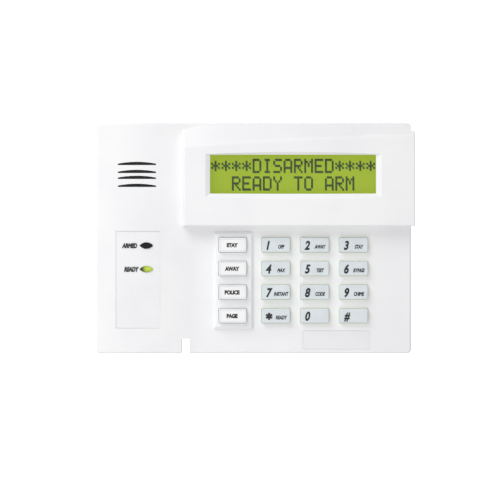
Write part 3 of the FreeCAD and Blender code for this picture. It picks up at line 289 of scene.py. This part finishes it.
# Painted shade: toward its left end the lens colour is mixed toward dark olive.
painted_shade_left = put(tree, "MapRange", {"Value": across, "From Min": core.x - 2.6 * MM, "From Max": core.x - 0.2 * MM,
                               "To Min": 1.0, "To Max": 0.0})
tones = bsdf.inputs["Base Color"].links[0].from_socket
ends = put(tree, "Mix", {"Factor": painted_shade_left.outputs[0], 6: tones, 7: srgb("#3c4624")}, data_type="RGBA")
tree.links.new(ends.outputs[2], bsdf.inputs["Base Color"])
dress(green_lens, "ready_lens")
label_lefts = {"armed": -13.8, "ready": -12.8}
for name, left in label_lefts.items():
    centre = centre_of(name + "_led")
    printed("label_" + name, name.upper(), 2.6, centre.x + left * MM, centre.z - 1.3 * MM,
            front_of("ready_lens") + 0.06 * MM, "housing", narrow=0.7, weight=0.085, slant=0.22)
red_epoxy, tree, bsdf, place = finish("red_tinted_epoxy", 2, "#7a1510", "#9c2018", IOR=1.52)
grain(tree, bsdf, place, 1.0, 0.002, 0.12, 0.2)
dress(red_epoxy, "armed_led")
green_epoxy, tree, bsdf, place = finish("green_tinted_epoxy", 2, "#79b52c", "#9bd046", IOR=1.52)
grain(tree, bsdf, place, 1.0, 0.002, 0.12, 0.2)
dress(green_epoxy, "ready_led")


# ---------------------------------------------------------------- display glass and its characters
# A yellow-green liquid crystal cell; the light of its backlight is painted on as an even emission all over
# it.
# Each letter is made of dark olive dots, five wide and seven tall.
cell, tree, bsdf, place = finish("yellow_green_lcd_glass", 30, "#4c5a04", "#505f06", IOR=1.52, Roughness=0.25)
bsdf.inputs["Specular IOR Level"].default_value = 0.2
bsdf.inputs["Emission Color"].default_value = srgb("#adc71c")
bsdf.inputs["Emission Strength"].default_value = 0.62
dress(cell, "display_glass")
segment, tree, bsdf, place = finish("dark_lcd_segment", 8, "#334c0c", "#38530e", IOR=1.52, Roughness=0.4)
bsdf.inputs["Specular IOR Level"].default_value = 0.1
# Each dot throws a soft olive shadow on the reflector behind it, a little to the right and below.
shade, tree, bsdf, place = finish("lcd_segment_shadow", 8, "#5a7616", "#607c1a", IOR=1.52, Roughness=0.4)
bsdf.inputs["Specular IOR Level"].default_value = 0.1
GLYPHS = {
    "*": ("00000", "00100", "10101", "01110", "10101", "00100", "00000"),
    "A": ("01110", "10001", "10001", "10001", "11111", "10001", "10001"),
    "D": ("11110", "10001", "10001", "10001", "10001", "10001", "11110"),
    "E": ("11111", "10000", "10000", "11110", "10000", "10000", "11111"),
    "I": ("01110", "00100", "00100", "00100", "00100", "00100", "01110"),
    "M": ("10001", "11011", "10101", "10101", "10001", "10001", "10001"),
    "O": ("01110", "10001", "10001", "10001", "10001", "10001", "01110"),
    "R": ("11110", "10001", "10001", "11110", "10100", "10010", "10001"),
    "S": ("01111", "10000", "10000", "01110", "00001", "00001", "11110"),
    "T": ("11111", "00100", "00100", "00100", "00100", "00100", "00100"),
    "Y": ("10001", "10001", "01010", "00100", "00100", "00100", "00100"),
}
window = centre_of("display_pane")
glass_front = front_of("display_glass")
dot_wide = 0.96 * MM
dot_tall = 1.14 * MM
dot_step = 0.98 * MM
dot_rise = 1.16 * MM
letter_step = 5.96 * MM
line_step = 10.1 * MM
first_line = 4.95 * MM  # its middle, above the middle of the window


def dots(name, places, shift, lift, made):
    """One piece made of dots, each a thin tile.

    Shift moves every tile to the right and down; lift sets it off the glass.
    """
    bpy.ops.object.select_all(action="DESELECT")
    tiles = []
    for x, z in places:
        bpy.ops.mesh.primitive_cube_add(size=1, location=(x + shift, -glass_front - lift, z - shift),
                                        scale=(dot_wide, 0.02 * MM, dot_tall))
        tiles.append(bpy.context.object)
    for tile in tiles:
        tile.select_set(True)
    bpy.ops.object.join()
    bpy.ops.object.transform_apply(location=True, rotation=True, scale=True)
    joined = bpy.context.object
    joined.name = name
    joined.data.materials.append(made)
    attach(joined, "housing")


for line, message in enumerate(("****DISARMED****", "  READY TO ARM")):
    places = []
    for column, letter in enumerate(message):
        for row, bits in enumerate(GLYPHS.get(letter, ())):
            for step, bit in enumerate(bits):
                if bit == "1":
                    places.append((window.x + (column - 7.5) * letter_step + (step - 2) * dot_step,
                                   window.z + first_line - line * line_step - (row - 3) * dot_rise))
    dots("display_shadow_%d" % (line + 1), places, 0.28 * MM, 0.02 * MM, shade)
    dots("display_line_%d" % (line + 1), places, 0.0, 0.06 * MM, segment)


# ---------------------------------------------------------------- display module and sounder case
# A clear cast acrylic pane stands in front of the cell. Round and behind the cell are a pressed steel bezel
# painted black, a diffusing acrylic backlight, nylon spacers and a pin header of black nylon.
# The sounder's case is moulded in dark grey ABS.
clear = finish("clear_cast_acrylic", 50, "#fbfdfc", "#ffffff", IOR=1.49, Roughness=0.04, Alpha=0.02)[0]
dress(clear, "display_pane")
steel, tree, bsdf, place = finish("black_painted_steel", 15, "#17181a", "#1f2123", IOR=1.5, Metallic=0.3)
grain(tree, bsdf, place, 0.4, 0.005, 0.35, 0.45)
dress(steel, "display_bezel")
diffuser = finish("diffusing_acrylic", 20, "#dfe6ad", "#e8edc0", IOR=1.49, Roughness=0.5)[0]
dress(diffuser, "display_backlight")
nylon = finish("natural_nylon", 4, "#ebe7da", "#f3f0e6", IOR=1.53, Roughness=0.45)[0]
dress(nylon, "display_spacers")
black_moulding, tree, bsdf, place = finish("black_moulded_nylon", 6, "#141517", "#1d1f21", IOR=1.53)
grain(tree, bsdf, place, 0.5, 0.008, 0.45, 0.6)
dress(black_moulding, "display_header")
grey_abs, tree, bsdf, place = finish("dark_grey_moulded_abs", 10, "#4c4f52", "#56595c", IOR=1.53)
grain(tree, bsdf, place, 0.6, 0.008, 0.4, 0.55)
dress(grey_abs, "sounder_case")


# ---------------------------------------------------------------- circuit board and what is on it
# Glass-epoxy laminate under green solder mask, with copper tracks that show as paler lines.
# On it are the chip, the capacitors and the wire terminal; six zinc plated screws hold it to the case.
# The display board is of the same laminate, and the sounder's disc is rolled brass.
laminate, tree, bsdf, place = finish("green_solder_mask", 25, "#0f4a26", "#15552d", IOR=1.55)
grain(tree, bsdf, place, 1.2, 0.004, 0.22, 0.34)
# Copper tracks under the mask: rows 1.27 mm apart with gaps of 0.3 mm, each row broken every 11 mm or so.
mask = bsdf.inputs["Base Color"].links[0].from_socket
where = put(tree, "SeparateXYZ", {"Vector": place})
face_on = put(tree, "CombineXYZ", {"X": where.outputs["X"], "Y": where.outputs["Z"]})
tracks = put(tree, "TexBrick", {"Vector": face_on.outputs[0], "Scale": 1 / MM, "Brick Width": 11.0,
                                "Row Height": 1.27, "Mortar Size": 0.15, "Mortar Smooth": 0.1}, offset=0.37)
copper = put(tree, "Mix", {"Factor": tracks.outputs["Fac"], 6: srgb("#1b6433"), 7: mask},
             data_type="RGBA")
tree.links.new(copper.outputs[2], bsdf.inputs["Base Color"])
dress(laminate, "circuit_board", "display_board")
brass, tree, bsdf, place = finish("rolled_brass", 6, "#a5843f", "#b5944e", Metallic=1.0)
grain(tree, bsdf, place, 0.5, 0.004, 0.25, 0.38)
dress(brass, "sounder_disc")
zinc, tree, bsdf, place = finish("zinc_plated_steel", 2, "#b9bcc0", "#cfd2d4", Metallic=1.0)
grain(tree, bsdf, place, 0.3, 0.004, 0.25, 0.4)
dress(zinc, "board_screws")
epoxy, tree, bsdf, place = finish("black_moulded_epoxy", 6, "#131313", "#1b1b1c", IOR=1.55)
grain(tree, bsdf, place, 0.4, 0.01, 0.55, 0.7)
dress(epoxy, "controller_chip")
can, tree, bsdf, place = finish("drawn_aluminium_can", 5, "#c4c6c9", "#d6d8da", Metallic=1.0)
grain(tree, bsdf, place, 0.8, 0.004, 0.2, 0.34)
dress(can, "capacitors")
terminal, tree, bsdf, place = finish("green_moulded_polyamide", 6, "#1e6b35", "#277a40", IOR=1.53)
grain(tree, bsdf, place, 0.5, 0.008, 0.4, 0.52)
dress(terminal, "wire_terminal")


# ---------------------------------------------------------------- terminal screws
# Clamp screws of the wire terminal: zinc plated steel with slotted cheese heads.
# One is sunk in each of the terminal's four cups.
def block(x, y, z, wide, deep, tall, bevel):
    """A box with softened edges; sizes in mm, place in metres."""
    bpy.ops.object.select_all(action="DESELECT")
    bpy.ops.mesh.primitive_cube_add(size=1, location=(x, y, z), scale=(wide * MM, deep * MM, tall * MM))
    bpy.ops.object.transform_apply(location=True, rotation=True, scale=True)
    made = bpy.context.object
    soften(made, bevel)
    return made


def soften(piece, bevel):
    """A small even bevel on every sharp edge."""
    cut = piece.modifiers.new("soft_edges", "BEVEL")
    cut.width, cut.segments, cut.limit_method = bevel * MM, 2, "ANGLE"
    bpy.context.view_layer.objects.active = piece
    bpy.ops.object.modifier_apply(modifier=cut.name)


def keep(piece, name, made):
    """Names a new piece, gives it its material, and lets it ride the housing."""
    piece.name = name
    piece.data.materials.clear()
    piece.data.materials.append(made)
    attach(piece, "housing")


middle = centre_of("wire_terminal")
terminal_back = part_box("wire_terminal")[1].y
terminal_pitch = 5.08 * MM
for way in range(4):
    x = middle.x + (way - 1.5) * terminal_pitch
    z = middle.z + 2.0 * MM
    y = terminal_back - 1.2 * MM
    bpy.ops.object.select_all(action="DESELECT")
    bpy.ops.mesh.primitive_cylinder_add(vertices=32, radius=1.5 * MM, depth=1.5 * MM, location=(x, y, z),
                                        rotation=(math.pi / 2, 0, 0))
    bpy.ops.object.transform_apply(location=True, rotation=True, scale=True)
    screw = bpy.context.object
    slit = block(x, y + 0.75 * MM, z, 0.5, 1.0, 3.4, 0.05)
    carve = screw.modifiers.new("slit", "BOOLEAN")
    carve.object, carve.operation, carve.solver = slit, "DIFFERENCE", "EXACT"
    bpy.context.view_layer.objects.active = screw
    bpy.ops.object.modifier_apply(modifier=carve.name)
    bpy.data.objects.remove(slit)
    soften(screw, 0.08)
    keep(screw, "terminal_screw_%d" % (way + 1), zinc)


# ---------------------------------------------------------------- chip resistors
# Soldered on the back of the board: black ceramic bodies with tinned ends, about 1.7 by 0.8 mm over the ends.
# They stand in two rows, with three more lower down.
tin, tree, bsdf, place = finish("tinned_solder", 1, "#bfc3c6", "#d4d7d9", Metallic=1.0)
grain(tree, bsdf, place, 0.3, 0.004, 0.22, 0.36)
board_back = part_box("circuit_board")[1].y
spots = [(-18, 4), (-14, 4), (-10, 4), (-6, 4), (6, 4), (10, 4), (14, 4), (18, 4),
         (-18, 9), (-14, 9), (-10, 9), (14, 9), (18, 9), (-18, -12), (18, -12), (16, -5)]
for number, (x, z) in enumerate(spots, start=1):
    body = block(middle.x + x * MM, board_back + 0.28 * MM, z * MM, 1.0, 0.46, 0.8, 0.05)
    keep(body, "resistor_%d" % number, epoxy)
    for end, side in ((1, -0.68), (2, 0.68)):
        cap = block(middle.x + (x + side) * MM, board_back + 0.26 * MM, z * MM, 0.36, 0.5, 0.84, 0.06)
        keep(cap, "resistor_%d_end_%d" % (number, end), tin)


# ---------------------------------------------------------------- crystal
# Crystal of the controller: a drawn metal can with rounded ends, lying on the back of the board
# near the chip.
chip_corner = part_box("controller_chip")[1]
crystal = block(chip_corner.x + 8 * MM, board_back + 1.8 * MM, chip_corner.z + 2 * MM, 10.5, 3.4, 4.6, 1.2)
keep(crystal, "crystal", can)


# ---------------------------------------------------------------- studio
# A lit white card far behind and a pale floor far below, out of the way of a camera on any side. Soft light
# from all round, a soft box at the upper left, weaker ones below and behind, and a long lens square on.
paper = finish("white_backdrop_paper", 900, "#f4f4f4", "#fafafa", IOR=1.4, Roughness=0.9)[0]
lit_paper, tree, bsdf, place = finish("lit_backdrop_paper", 900, "#fdfdfd", "#ffffff", IOR=1.4, Roughness=0.9)
bsdf.inputs["Emission Color"].default_value = srgb("#ffffff")
bsdf.inputs["Emission Strength"].default_value = 1.0
cards = [("backdrop", (0, 4, 0), math.pi / 2, 8, lit_paper),
         ("floor", (0, 0, -3), 0, 16, paper)]
for name, spot, tilt, size, made in cards:
    bpy.ops.object.select_all(action="DESELECT")
    bpy.ops.mesh.primitive_plane_add(size=size, location=spot, rotation=(tilt, 0, 0))
    card = bpy.context.object
    card.name = name
    card.data.materials.append(made)
    # The lit card is left out of diffuse and glossy rays, so that it throws no light on the object.
    throws_light = name == "floor"
    card.visible_diffuse = throws_light
    card.visible_glossy = throws_light

world = bpy.data.worlds.new("studio")
bpy.context.scene.world = world
world.use_nodes = True
world.node_tree.nodes["Background"].inputs["Color"].default_value = srgb("#ffffff")
world.node_tree.nodes["Background"].inputs["Strength"].default_value = 0.56


def lamp(name, place, aim, size, power):
    """A square soft box that faces a point."""
    data = bpy.data.lights.new(name, "AREA")
    data.shape = "SQUARE"
    data.size = size
    data.energy = power
    made = bpy.data.objects.new(name, data)
    bpy.context.collection.objects.link(made)
    made.location = place
    made.rotation_euler = (Vector(aim) - Vector(place)).to_track_quat("-Z", "Y").to_euler()


lamp("key_light", (-0.4, -0.44, 0.54), (0, -0.02, 0), 0.5, 3.1)
lamp("low_light", (-0.13, -0.6, -0.5), (0, -0.02, 0), 0.6, 1.75)
lamp("back_light", (0.45, 0.8, 0.55), (0, 0, 0), 0.6, 3.6)

camera = bpy.data.objects.new("camera", bpy.data.cameras.new("camera"))
bpy.context.collection.objects.link(camera)
bpy.context.scene.camera = camera
reach = 2.5  # from the lens to the front of the object
view_wide = 0.2879  # what the view takes in at that distance
camera.location = (-0.0023, -0.028 - reach, -0.0069)
camera.rotation_euler = (math.pi / 2, 0, 0)
camera.data.sensor_width = 36
camera.data.lens = 36 * reach / view_wide
camera.data.clip_end = 20
bpy.context.scene.view_settings.view_transform = "Standard"
